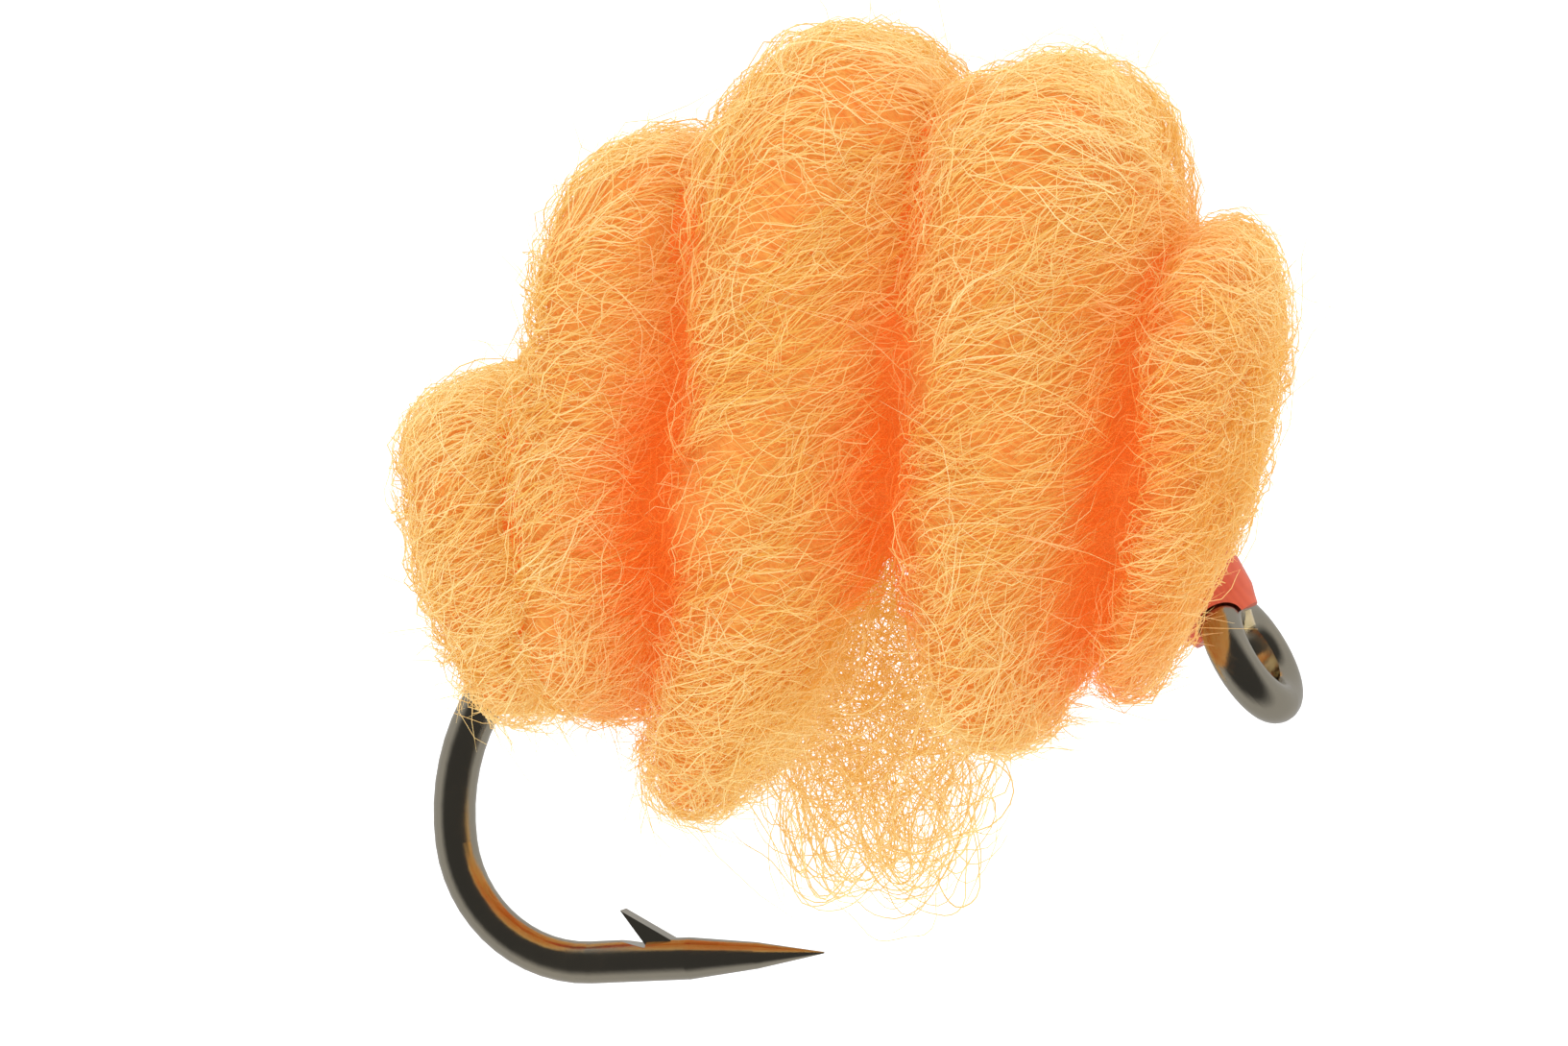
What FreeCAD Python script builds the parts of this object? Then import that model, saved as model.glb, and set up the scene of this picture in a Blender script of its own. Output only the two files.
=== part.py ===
"""Egg fly: a single barbed hook dressed with five pairs of bound yarn loops.

Frame: +X along the shank towards the eye, +Z up, -Y the near side, origin at the
centre of the eye's hole.  Millimetres and degrees.  A heading is the direction of
travel along the wire in the XZ plane, counted from +X towards +Z, and a station is
the angle of a place on the shank's arc, seen from the arc's centre.
"""
import FreeCAD, Part
import os
import Sketcher
from FreeCAD import Placement, Rotation, Vector

X_AXIS = Vector(1, 0, 0)
Y_AXIS = Vector(0, 1, 0)
Z_AXIS = Vector(0, 0, 1)

# ---------------------------------------------------------------- driving dimensions
SIZES = {
    # hook wire, from the eye round to the point
    "wire_diameter": 0.75,
    "ring_radius": 0.9,
    "ring_wire_diameter": 0.75,
    "ring_slope": 58.0,
    "hole_diameter": 1.16,
    "neck_radius": 1.5,
    "neck_turn": 28.0,
    "shank_radius": 10.3,
    "shank_length": 13.79,
    "heel_radius": 3.95,
    "heel_heading": 277.7,
    "bend_radius": 2.35,
    "point_heading": 364.7,
    "straight_length": 1.85,
    "point_length": 2.5,
    "point_belly": 0.05,
    "tip_diameter": 0.03,
    "barb_length": 0.9,
    "barb_rise": 0.54,
    "barb_thickness": 0.34,
    "barb_setback": 0.28,
    "notch_depth": 0.13,
    "notch_length": 0.55,
    # thread and cement
    "fit_gap": 0.03,
    "thread_layer": 0.1,
    "thread_start": 0.25,
    "thread_overrun": 0.9,
    "tie_height": 0.22,
    "tie_length": 0.7,
    "head_front": 0.7,
    "head_length": 1.5,
    "head_lean": 14.5,
    "head_front_radius": 0.66,
    "head_belly_radius": 0.86,
    "head_rear_radius": 0.8,
    "head_gap": 0.04,
    "cement_length": 0.3,
    "cement_radius": 0.5,
    # yarn
    "run_height": 0.2,
    "run_gap": 0.05,
    "loop_clearance": 0.05,
    "loop_start": 0.48,
    "far_share": 0.93,
    "far_sweep": 0.45,
    "tuft_top": 0.95,
    "tuft_length": 5.9,
    "tuft_width": 3.2,
    "tuft_depth": 1.4,
    "tuft_lean": 4.0,
}

# one row for each pair of loops, from the bend to the eye:
# lean towards the eye, height above the wire, drop below it, waist width beside the
# wire, crown and lobe widths as shares of the waist, depth to one side, forward splay
# per unit of depth, and the gap left to the next loop ahead.  The far loops are smaller
# by the far share and splay forward less by the far sweep
LOOP_VALUES = ("lean", "height", "drop", "waist", "crown", "lobe", "depth", "splay", "gap")
LOOPS = {
    1: (-10.0, 5.3, 0.9, 1.8, 1.33, 0.78, 4.2, 0.20, 0.06),
    2: (6.5, 7.8, 2.3, 2.3, 1.13, 0.83, 4.8, 0.12, 0.23),
    3: (8.5, 8.55, 5.2, 3.4, 1.06, 0.76, 5.4, 0.12, 0.35),
    4: (6.5, 8.0, 3.8, 3.1, 1.12, 0.78, 5.3, 0.27, 0.22),
    5: (9.5, 5.9, 2.0, 1.6, 1.42, 0.85, 4.4, 0.38, 0.0),
}
LAST_LOOP = max(LOOPS)

# Sections of one folded loop, from the end of its lobe to its crown.  Each row is the
# height as a share of the drop (below) or of the height (above), the width as a share
# of the lobe's, the waist's or the crown's, the inner face as a share of the room
# beside the wire and as a share of the depth, and the outer face as a share of the depth.
LOBE_SECTIONS = (
    (1.00, 0.14, 0.00, 0.42, 0.54),
    (0.94, 0.58, 0.00, 0.27, 0.69),
    (0.72, 0.90, 1.00, 0.00, 0.81),
    (0.35, 1.00, 1.00, 0.00, 0.87),
)
WAIST_SECTIONS = (
    (0.06, 1.00, 1.00, 0.00, 0.97),
)
CROWN_SECTIONS = (
    (0.30, 0.96, 0.45, 0.00, 0.99),
    (0.54, 1.00, 0.10, 0.00, 1.00),
    (0.76, 0.95, 0.10, 0.00, 0.98),
    (0.90, 0.74, 0.00, 0.11, 0.87),
    (0.975, 0.42, 0.00, 0.25, 0.70),
    (1.00, 0.15, 0.00, 0.39, 0.55),
)

doc = FreeCAD.newDocument("EggFly")
sheet = doc.addObject("Spreadsheet::Sheet", "Sizes")


def write_sheet():
    """Write every driving dimension into the sheet, one row each."""
    values = dict(SIZES)
    for number, row in LOOPS.items():
        for name, value in zip(LOOP_VALUES, row):
            values[f"loop_{name}_{number}"] = value
    for row, (name, value) in enumerate(values.items(), start=1):
        sheet.set(f"A{row}", name)
        sheet.set(f"B{row}", str(value))
        sheet.setAlias(f"B{row}", name)
    doc.recompute()


def cell(name):
    """Expression for one cell of the sheet."""
    return f"Sizes.{name}"


def number(expression):
    """Value of an expression now, as a plain number."""
    value = sheet.evalExpression(expression)
    return float(getattr(value, "Value", value))


def bind(feature, **expressions):
    """Bind properties to expressions; a double underscore stands for a dot."""
    for name, expression in expressions.items():
        feature.setExpression(name.replace("__", "."), expression)


# ---------------------------------------------------------------- the wire's line
HEADING = {
    "ring": f"(180 - {cell('ring_slope')})",
}
HEADING["neck"] = f"({HEADING['ring']} + {cell('neck_turn')})"
SHANK_TURN = f"({cell('shank_length')} / {cell('shank_radius')} * 180 / pi)"
HEADING["shank"] = f"({HEADING['neck']} + {SHANK_TURN})"
HEADING["heel"] = cell("heel_heading")
HEADING["bend"] = cell("point_heading")
ARCS = (("neck", "ring"), ("shank", "neck"), ("heel", "shank"), ("bend", "heel"))


def arc_end(start, name, before):
    """Place where an arc ends, from its start and its headings, as two expressions."""
    radius = cell(f"{name}_radius")
    along = f"{radius} * (sin({HEADING[name]}) - sin({HEADING[before]}))"
    up = f"{radius} * (cos({HEADING[before]}) - cos({HEADING[name]}))"
    return f"({start[0]} + {along})", f"({start[1]} + {up})"


RING_TOP = (
    f"({cell('ring_radius')} * cos({HEADING['ring']}))",
    f"({cell('ring_radius')} * sin({HEADING['ring']}))",
)
ENDS = {"ring": RING_TOP}
for arc_name, arc_before in ARCS:
    ENDS[arc_name] = arc_end(ENDS[arc_before], arc_name, arc_before)
SHANK_CENTRE = (
    f"({ENDS['neck'][0]} - {cell('shank_radius')} * sin({HEADING['neck']}))",
    f"({ENDS['neck'][1]} + {cell('shank_radius')} * cos({HEADING['neck']}))",
)


def on_shank(station):
    """Place on the shank's centre line at a station, as two expressions."""
    return (
        f"({SHANK_CENTRE[0]} + {cell('shank_radius')} * cos({station}))",
        f"({SHANK_CENTRE[1]} + {cell('shank_radius')} * sin({station}))",
    )


def turn_of(length):
    """Angle on the shank's arc that a length takes, as an expression."""
    return f"({length} / {cell('shank_radius')} * 180 / pi)"


NECK_LENGTH = f"({cell('neck_radius')} * {cell('neck_turn')} * pi / 180)"
HEAD_REAR = f"({cell('head_front')} + {cell('head_length')})"
HEAD_PAST_NECK = f"({HEAD_REAR} - {cell('ring_radius')} - {NECK_LENGTH})"
HEAD_STATION = f"({HEADING['neck']} - 90 + {turn_of(HEAD_PAST_NECK)})"


def loop_stations():
    """Station of each pair of loops, pushed up side by side from the head backwards."""
    found = {LAST_LOOP: f"({HEAD_STATION} + {turn_of(cell('loop_start'))})"}
    place = on_shank(found[LAST_LOOP])[0]
    for index in range(LAST_LOOP - 1, 0, -1):
        waists = f"({cell(f'loop_waist_{index}')} + {cell(f'loop_waist_{index + 1}')})"
        place = f"({place} - {waists} / 2 - {cell(f'loop_gap_{index}')})"
        across = f"({place} - {SHANK_CENTRE[0]})"
        found[index] = f"(acos({across} / {cell('shank_radius')}) / (1 deg))"
    return found


STATIONS = loop_stations()
REAR_TURN = turn_of(cell("tie_length"))
TIE_STATIONS = [f"({STATIONS[1]} + {REAR_TURN})"]
TIE_STATIONS += [f"(({STATIONS[i]} + {STATIONS[i + 1]}) / 2)" for i in range(1, LAST_LOOP)]


# ---------------------------------------------------------------- shared ways of making
def plane(body, role):
    """One of a body's own origin planes."""
    for feature in body.Origin.OriginFeatures:
        if feature.Role == role:
            return feature
    raise ValueError(role)


def add_sketch(body, name, role, offset=None, turn_axis=Z_AXIS, turn="0"):
    """Sketch on an origin plane, shifted by three expressions and turned by one."""
    sketch = body.newObject("Sketcher::SketchObject", name)
    sketch.AttachmentSupport = [(plane(body, role), "")]
    sketch.MapMode = "FlatFace"
    sketch.AttachmentOffset = Placement(Vector(), Rotation(turn_axis, 45))
    bind(sketch, AttachmentOffset__Rotation__Angle=f"({turn}) * 1 deg")
    for axis, expression in zip("xyz", offset or ("0", "0", "0")):
        bind(sketch, **{f"AttachmentOffset__Base__{axis}": f"({expression}) * 1 mm"})
    return sketch


def add_circle(sketch, diameter, across="0"):
    """Circle on a sketch's own first axis, with its diameter and distance bound."""
    place = number(across)
    circle = Part.Circle(Vector(place, 0, 0), Z_AXIS, number(diameter) / 2)
    index = sketch.addGeometry(circle, False)
    sketch.addConstraint(Sketcher.Constraint("PointOnObject", index, 3, -1))
    position = sketch.addConstraint(Sketcher.Constraint("DistanceX", -1, 1, index, 3, place))
    size = sketch.addConstraint(Sketcher.Constraint("Diameter", index, 2 * circle.Radius))
    bind(sketch, **{f"Constraints[{position}]": f"({across}) * 1 mm"})
    bind(sketch, **{f"Constraints[{size}]": f"({diameter}) * 1 mm"})


def add_outline(sketch, corners):
    """Closed outline of straight lines whose corners are pairs of expressions."""
    points = [Vector(number(x), number(y), 0) for x, y in corners]
    for start, end in zip(points, points[1:] + points[:1]):
        sketch.addGeometry(Part.LineSegment(start, end), False)
    count = len(points)
    for index in range(count):
        follower = (index + 1) % count
        sketch.addConstraint(Sketcher.Constraint("Coincident", index, 2, follower, 1))
    for index, (x, y) in enumerate(corners):
        for kind, expression, value in (
            ("DistanceX", x, points[index].x),
            ("DistanceY", y, points[index].y),
        ):
            made = sketch.addConstraint(Sketcher.Constraint(kind, -1, 1, index, 1, value))
            bind(sketch, **{f"Constraints[{made}]": f"({expression}) * 1 mm"})


def revolve(body, name, sketch, axis, angle="360", kind="PartDesign::Revolution"):
    """Revolution or groove about one of a sketch's axes, centred on the sketch."""
    feature = body.newObject(kind, name)
    feature.Profile = sketch
    feature.ReferenceAxis = (sketch, [axis])
    feature.Midplane = True
    bind(feature, Angle=f"({angle}) * 1 deg")
    body.Tip = feature
    sketch.Visibility = False
    return feature


# ---------------------------------------------------------------- the hook
def add_arc_sketch(body, name, centre, station):
    """Sketch that faces along a wire arc at a station, its origin at the arc's centre."""
    place = (centre[0], "0", centre[1])
    return add_sketch(body, name, "XY_Plane", place, Y_AXIS, f"-({station})")


def arc_centre(start, name, before):
    """Centre of an arc, a radius to the left of the line where it starts."""
    radius = cell(f"{name}_radius")
    return (
        f"({start[0]} - {radius} * sin({HEADING[before]}))",
        f"({start[1]} + {radius} * cos({HEADING[before]}))",
    )


def add_arc(body, name, before, diameter):
    """Round wire along one arc of the hook's line."""
    centre = arc_centre(ENDS[before], name, before)
    middle = f"(({HEADING[name]} + {HEADING[before]}) / 2 - 90)"
    sketch = add_arc_sketch(body, f"{name}_section", centre, middle)
    add_circle(sketch, diameter, cell(f"{name}_radius"))
    turn = f"({HEADING[name]} - {HEADING[before]})"
    return revolve(body, f"{name}_arc", sketch, "V_Axis", turn)


def add_ring(body, diameter, kind="PartDesign::Revolution"):
    """Closed ring of the eye, or a groove of its shape."""
    sketch = add_sketch(body, "ring_section", "XZ_Plane", None, Z_AXIS, HEADING["ring"])
    add_circle(sketch, diameter, cell("ring_radius"))
    return revolve(body, "ring", sketch, "V_Axis", "360", kind)


def add_hole(body):
    """Cylindrical land of the eye's hole, cut along the ring's own axis."""
    turn = f"(90 - ({HEADING['ring']}))"
    sketch = add_sketch(body, "hole_section", "XY_Plane", None, Y_AXIS, f"-(90 - {turn})")
    add_circle(sketch, cell("hole_diameter"))
    hole = body.newObject("PartDesign::Pocket", "hole")
    hole.Profile = sketch
    hole.Midplane = True
    bind(hole, Length=f"{cell('ring_wire_diameter')} * 1 mm")
    body.Tip = hole
    sketch.Visibility = False


def add_point(body):
    """Straight run and slightly bellied taper, turned about the point's own line."""
    start = (ENDS["bend"][0], ENDS["bend"][1], "0")
    sketch = add_sketch(body, "point_profile", "XZ_Plane", start, Z_AXIS, HEADING["bend"])
    run = cell("straight_length")
    whole = f"({run} + {cell('point_length')})"
    wire = f"({cell('wire_diameter')} / 2)"
    half_way = f"({run} + {cell('point_length')} / 2)"
    corners = [
        ("0", "0"),
        (whole, "0"),
        (whole, f"({cell('tip_diameter')} / 2)"),
        (half_way, f"({wire} / 2 + {cell('point_belly')})"),
        (run, wire),
        ("0", wire),
    ]
    add_outline(sketch, corners)
    revolve(body, "point", sketch, "H_Axis")


def add_barb(body):
    """Sliver raised from the wire behind the taper, and the notch it was cut from."""
    start = (ENDS["bend"][0], ENDS["bend"][1], "0")
    surface = f"({cell('wire_diameter')} / 2)"
    front = f"({cell('straight_length')} - {cell('barb_setback')})"
    back = f"({front} - {cell('barb_length')})"
    root = f"({front} - {cell('barb_length')} / 2)"
    floor = f"({surface} - {cell('notch_depth')})"
    sketch = add_sketch(body, "notch_profile", "XZ_Plane", start, Z_AXIS, HEADING["bend"])
    rim = f"({surface} + {cell('notch_depth')})"
    notch_end = f"({root} - {cell('notch_length')})"
    notch = [(notch_end, surface), (root, floor), (root, rim), (notch_end, rim)]
    add_outline(sketch, notch)
    cut = body.newObject("PartDesign::Pocket", "notch")
    cut.Profile = sketch
    cut.Midplane = True
    bind(cut, Length=f"{cell('wire_diameter')} * 1 mm")
    body.Tip = cut
    sketch = add_sketch(body, "barb_profile", "XZ_Plane", start, Z_AXIS, HEADING["bend"])
    barb = [
        (front, f"({surface} * 0.96)"),
        (back, f"({surface} + {cell('barb_rise')})"),
        (root, floor),
        (root, f"({floor} - {cell('notch_depth')})"),
        (front, f"({floor} - {cell('notch_depth')})"),
    ]
    add_outline(sketch, barb)
    pad = body.newObject("PartDesign::Pad", "barb")
    pad.Profile = sketch
    pad.Midplane = True
    bind(pad, Length=f"{cell('barb_thickness')} * 1 mm")
    body.Tip = pad


def make_hook():
    """One wire: ring, neck, shank, heel, bend, point and barb."""
    body = doc.addObject("PartDesign::Body", "hook")
    body.Label = "hook"
    diameter = cell("wire_diameter")
    for name, before in ARCS:
        add_arc(body, name, before, diameter)
    add_ring(body, cell("ring_wire_diameter"))
    add_hole(body)
    add_point(body)
    add_barb(body)
    return body


def make_wire_room():
    """Room that the head leaves for the eye, the neck and the shank."""
    body = doc.addObject("PartDesign::Body", "wire_room")
    diameter = f"({cell('wire_diameter')} + 2 * {cell('head_gap')})"
    add_arc(body, "neck", "ring", diameter)
    add_arc(body, "shank", "neck", diameter)
    add_ring(body, f"({cell('ring_wire_diameter')} + 2 * {cell('head_gap')})")
    return body


# ---------------------------------------------------------------- thread and cement
def make_band(label, station, angle, inner, outer):
    """Sleeve wound round the shank: inner and outer diameters, centred on a station."""
    body = doc.addObject("PartDesign::Body", label)
    body.Label = label
    sketch = add_arc_sketch(body, f"{label}_section", SHANK_CENTRE, station)
    add_circle(sketch, outer, cell("shank_radius"))
    add_circle(sketch, inner, cell("shank_radius"))
    revolve(body, f"{label}_sleeve", sketch, "V_Axis", angle)
    return body


BASE_INNER = f"({cell('wire_diameter')} + 2 * {cell('fit_gap')})"
BASE_OUTER = f"({BASE_INNER} + 2 * {cell('thread_layer')})"
BAND_INNER = f"({BASE_OUTER} + 2 * {cell('fit_gap')})"


def make_thread():
    """Thread base along the shank and the lashings wound over it."""
    front = f"({HEAD_STATION} + {turn_of(cell('thread_start'))})"
    rear = f"({STATIONS[1]} + {turn_of(cell('thread_overrun'))})"
    middle = f"(({front} + {rear}) / 2)"
    nodes = [make_band("thread_base", middle, f"({rear} - {front})", BASE_INNER, BASE_OUTER)]
    outer = f"({BAND_INNER} + 2 * {cell('tie_height')})"
    angle = turn_of(cell("tie_length"))
    for index, station in enumerate(TIE_STATIONS, start=1):
        nodes.append(make_band(f"thread_tie_{index}", station, angle, BAND_INNER, outer))
    return nodes


def make_yarn_runs():
    """Bound strand that runs along the shank from one lashing to the next."""
    outer = f"({BAND_INNER} + 2 * {cell('run_height')})"
    ends = turn_of(f"({cell('tie_length')} + 2 * {cell('run_gap')})")
    nodes = []
    for index, (rear, front) in enumerate(zip(TIE_STATIONS, TIE_STATIONS[1:]), start=1):
        middle = f"(({rear} + {front}) / 2)"
        angle = f"({rear} - {front} - {ends})"
        nodes.append(make_band(f"yarn_run_{index}", middle, angle, BAND_INNER, outer))
    return nodes


def head_sketch(body, name):
    """Sketch along the head's own line, which starts at the hole's centre."""
    heading = f"({HEADING['ring']} + {cell('head_lean')} / 2)"
    return add_sketch(body, name, "XZ_Plane", None, Z_AXIS, heading)


def make_collar(label, corners, room):
    """Turned solid about the head's line, with room for the wire cut out of it."""
    body = doc.addObject("PartDesign::Body", f"{label}_blank")
    sketch = head_sketch(body, f"{label}_profile")
    add_outline(sketch, corners)
    revolve(body, f"{label}_turning", sketch, "H_Axis")
    cut = doc.addObject("Part::Cut", label)
    cut.Label = label
    cut.Base = body
    cut.Tool = room
    return cut


def make_head(room):
    """Finished thread head behind the eye and the bead of cement in front of it."""
    front = cell("head_front")
    rear = HEAD_REAR
    nose = cell("head_front_radius")
    belly = cell("head_belly_radius")
    shoulder = f"({front} + {cell('head_length')} * 0.22)"
    waist = f"({front} + {cell('head_length')} * 0.55)"
    head = [
        (front, "0"),
        (rear, "0"),
        (rear, cell("head_rear_radius")),
        (waist, belly),
        (shoulder, f"(({nose} + {belly}) / 2 + 0.03)"),
        (front, nose),
    ]
    bead_front = f"({front} - {cell('cement_length')})"
    seam = f"({front} - {cell('fit_gap')})"
    bead = [
        (bead_front, "0"),
        (seam, "0"),
        (seam, cell("cement_radius")),
        (bead_front, f"({cell('cement_radius')} * 0.8)"),
    ]
    return [make_collar("thread_head", head, room), make_collar("head_cement", bead, room)]


# ---------------------------------------------------------------- yarn
def add_ellipse(name, along, across, place, turn):
    """Ellipse that lies flat: its two half sizes, its centre and the turn of its length."""
    ellipse = doc.addObject("Part::Ellipse", name)
    ellipse.Placement = Placement(Vector(), Rotation(Z_AXIS, turn))
    bind(ellipse, MajorRadius=f"({along}) * 1 mm", MinorRadius=f"({across}) * 1 mm")
    for axis, expression in zip("xyz", place):
        bind(ellipse, **{f"Placement__Base__{axis}": f"({expression}) * 1 mm"})
    ellipse.Visibility = False
    return ellipse


def loft_on_shank(label, sections, station, lean):
    """Closed solid through flat sections, stood on the shank at a station and leant."""
    loft = doc.addObject("Part::Loft", label)
    loft.Label = label
    loft.Sections = sections
    loft.Solid = True
    loft.Ruled = False
    place = on_shank(station)
    loft.Placement = Placement(Vector(), Rotation(Y_AXIS, 45))
    bind(
        loft,
        Placement__Base__x=f"{place[0]} * 1 mm",
        Placement__Base__z=f"{place[1]} * 1 mm",
        Placement__Rotation__Angle=f"({lean}) * 1 deg",
    )
    return loft


TIE_RADIUS = f"({BAND_INNER} / 2 + {cell('tie_height')})"
LOOP_ROOM = f"(max({TIE_RADIUS}; {cell('head_belly_radius')}) + {cell('loop_clearance')})"


def make_loop(side_name, index):
    """One folded loop of yarn, lashed at the shank and pressed into a fat roll."""
    label = f"yarn_loop_{side_name}_{index}"
    side = -1 if side_name == "near" else 1
    share = "1" if side_name == "near" else cell("far_share")
    sweep = "0" if side_name == "near" else cell("far_sweep")
    value = {name: cell(f"loop_{name}_{index}") for name in LOOP_VALUES}
    rows = [(-1, "drop", value["lobe"]) + row for row in LOBE_SECTIONS]
    rows += [(1, "height", "1") + row for row in WAIST_SECTIONS]
    rows += [(1, "height", value["crown"]) + row for row in CROWN_SECTIONS]
    sections = []
    for order, (sign, reach, width, rise, swell, room, inner, outer) in enumerate(rows):
        level = f"({sign} * {rise} * {value[reach]} * {share})"
        inner_face = f"({room} * {LOOP_ROOM} + {inner} * {value['depth']})"
        outer_face = f"({outer} * {value['depth']})"
        middle = f"(({inner_face} + {outer_face}) / 2)"
        half_depth = f"(({outer_face} - {inner_face}) / 2)"
        half_width = f"({value['waist']} * {width} * {swell} * {share} / 2)"
        forward = f"(({value['splay']} - {sweep}) * {middle})"
        place = (forward, f"{side} * {middle}", level)
        sections.append(add_ellipse(f"{label}_section_{order}", half_depth, half_width, place, 90))
    return loft_on_shank(label, sections, STATIONS[index], value["lean"])


def make_tuft():
    """Thin curtain of loose fibres that hangs under the shank."""
    rows = ((0.0, 0.5, 0.6), (0.3, 0.8, 0.9), (0.65, 1.0, 1.0), (0.9, 0.7, 0.7), (1.0, 0.2, 0.2))
    sections = []
    for order, (drop, width, depth) in enumerate(rows):
        level = f"(-{cell('tuft_top')} - {drop} * {cell('tuft_length')})"
        half_width = f"({width} * {cell('tuft_width')} / 2)"
        half_depth = f"({depth} * {cell('tuft_depth')} / 2)"
        name = f"loose_fibre_tuft_section_{order}"
        sections.append(add_ellipse(name, half_width, half_depth, ("0", "0", level), 0))
    return loft_on_shank("loose_fibre_tuft", sections, TIE_STATIONS[3], cell("tuft_lean"))


def make_yarn():
    """All the loops, near side and far side, and the loose tuft."""
    nodes = [make_loop(side, index) for side in ("near", "far") for index in LOOPS]
    return nodes + [make_tuft()]


# ---------------------------------------------------------------- build and write
def check_objects():
    """Stop if any object of the document failed to build."""
    for item in doc.Objects:
        if "Invalid" in item.State or "Error" in item.State:
            raise RuntimeError(f"{item.Label}: {item.State}")


def check_shape(node):
    """Stop if a piece has no shape or an unsound one."""
    if node.Shape.isNull() or not node.Shape.isValid() or node.Shape.Volume <= 0:
        raise RuntimeError(f"{node.Label}: no sound solid")


def write_nodes(nodes):
    """Write one file for each piece, named after it."""
    os.makedirs("parts", exist_ok=True)
    for node in nodes:
        node.Shape.exportStep(f"parts/{node.Label}.step")
        box = node.Shape.BoundBox
        size = f"{box.XLength:.2f} x {box.YLength:.2f} x {box.ZLength:.2f}"
        print(f"{node.Label:22s} {size}  solids {len(node.Shape.Solids)}")


write_sheet()
pieces = [make_hook()]
pieces += make_thread()
pieces += make_yarn_runs()
pieces += make_head(make_wire_room())
pieces += make_yarn()
doc.recompute()
check_objects()
for piece in pieces:
    check_shape(piece)
write_nodes(pieces)
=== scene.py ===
"""Egg fly: the looks of a yarn-dressed hook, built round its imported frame.

Every length inside the builders is in millimetres and becomes metres when a mesh is
finished.  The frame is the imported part's own: +X along the shank towards the eye, +Z
up and -Y the near side.
"""
import math

import bpy
import numpy as np
from mathutils import Matrix, Vector
from mathutils.bvhtree import BVHTree


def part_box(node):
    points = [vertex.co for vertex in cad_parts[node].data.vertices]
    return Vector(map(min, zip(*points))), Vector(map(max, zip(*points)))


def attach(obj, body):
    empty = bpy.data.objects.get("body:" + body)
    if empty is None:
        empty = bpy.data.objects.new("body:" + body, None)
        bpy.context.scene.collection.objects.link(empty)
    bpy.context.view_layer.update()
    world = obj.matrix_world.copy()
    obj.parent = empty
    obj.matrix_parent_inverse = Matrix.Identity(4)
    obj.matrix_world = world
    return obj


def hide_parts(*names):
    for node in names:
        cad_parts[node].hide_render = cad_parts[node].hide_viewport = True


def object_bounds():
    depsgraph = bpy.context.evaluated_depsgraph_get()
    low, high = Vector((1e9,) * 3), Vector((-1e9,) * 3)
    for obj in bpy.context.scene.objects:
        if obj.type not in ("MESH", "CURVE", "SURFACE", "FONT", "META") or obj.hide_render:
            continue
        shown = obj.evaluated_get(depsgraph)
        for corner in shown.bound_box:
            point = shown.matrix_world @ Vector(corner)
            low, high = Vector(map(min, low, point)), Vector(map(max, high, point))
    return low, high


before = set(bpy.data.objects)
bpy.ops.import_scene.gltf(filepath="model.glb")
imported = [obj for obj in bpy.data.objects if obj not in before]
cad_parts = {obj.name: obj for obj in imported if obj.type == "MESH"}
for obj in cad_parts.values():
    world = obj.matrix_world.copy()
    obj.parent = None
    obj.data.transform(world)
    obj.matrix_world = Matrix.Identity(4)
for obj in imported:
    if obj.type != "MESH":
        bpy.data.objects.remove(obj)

bl_info = {
    "name": "Egg Fly Builder",
    "version": (1, 0, 0),
    "blender": (4, 5, 0),
    "location": "3D View > Sidebar > Egg Fly",
    "description": "Dresses a hook with fibrous yarn rolls, loose fibres and a thread head",
    "category": "Object",
}

MM = 0.001
SEED = 20
ROD_SIDES = 3
CAD_BOX = [list(corner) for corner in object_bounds()]

# one row for each pair of rolls, from the bend to the eye: the lean of its axis, the
# slope of its fibres, how pale it is, and its share of the set number of fibres
ROLLS = {
    1: (-13.0, 26.0, 0.30, 0.62),
    2: (4.0, 30.0, 0.14, 0.95),
    3: (8.0, 33.0, 0.02, 1.25),
    4: (5.0, 29.0, 0.08, 1.15),
    5: (13.0, 24.0, 0.00, 0.66),
}

# one row for each way that a fibre lies: its share, then lowest and highest length,
# lift, arch, rise of its free end and curl, all in millimetres, and its change of slope
LAYS = {
    "laid": (0.53, (1.1, 2.4), (0.00, 0.13), (0.02, 0.13), (0.0, 0.0), (0.03, 0.10), 22.0),
    "loose": (0.28, (1.1, 2.6), (0.03, 0.20), (0.08, 0.28), (0.0, 0.20), (0.07, 0.20), 38.0),
    "stray": (0.18, (0.7, 2.2), (0.02, 0.14), (0.06, 0.26), (0.10, 0.5), (0.06, 0.22), 90.0),
    "wild": (0.01, (2.0, 3.6), (0.05, 0.15), (0.10, 0.40), (0.5, 1.5), (0.15, 0.40), 90.0),
}
# for each way of lying: fibres in a lock, added paleness, leaning towards the lower end
# and thickness as a share
LOCK_SIZES = {"laid": 5, "loose": 4, "stray": 1, "wild": 1}
PALENESS = {"laid": 0.0, "loose": 0.34, "stray": 0.45, "wild": 0.5}
FRAYS = {"laid": 0.0, "loose": 1.0, "stray": 4.0, "wild": 1.0}
THINNESS = {"laid": 1.0, "loose": 0.95, "stray": 0.7, "wild": 0.6}

# one row for each pair of rolls: the height where its lower end starts to draw in, the
# end's pull towards the eye, its narrowing, the slope of its crown down to the bend, and
# its width as a share, kept in place at the front or at the rear edge
SHAPES = {
    1: (1.5, 0.0, 0.10, 0.35, 1.0, "front"),
    2: (1.5, 0.0, 0.15, 0.25, 1.16, "front"),
    3: (1.8, -0.55, 0.26, 0.0, 1.08, "rear"),
    4: (1.5, 0.30, 0.20, 0.0, 1.14, "rear"),
    5: (2.6, -0.45, 0.10, 0.0, 0.64, "front"),
}
END_REACH = 3.0
CROWN_REACH = 2.0

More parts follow.
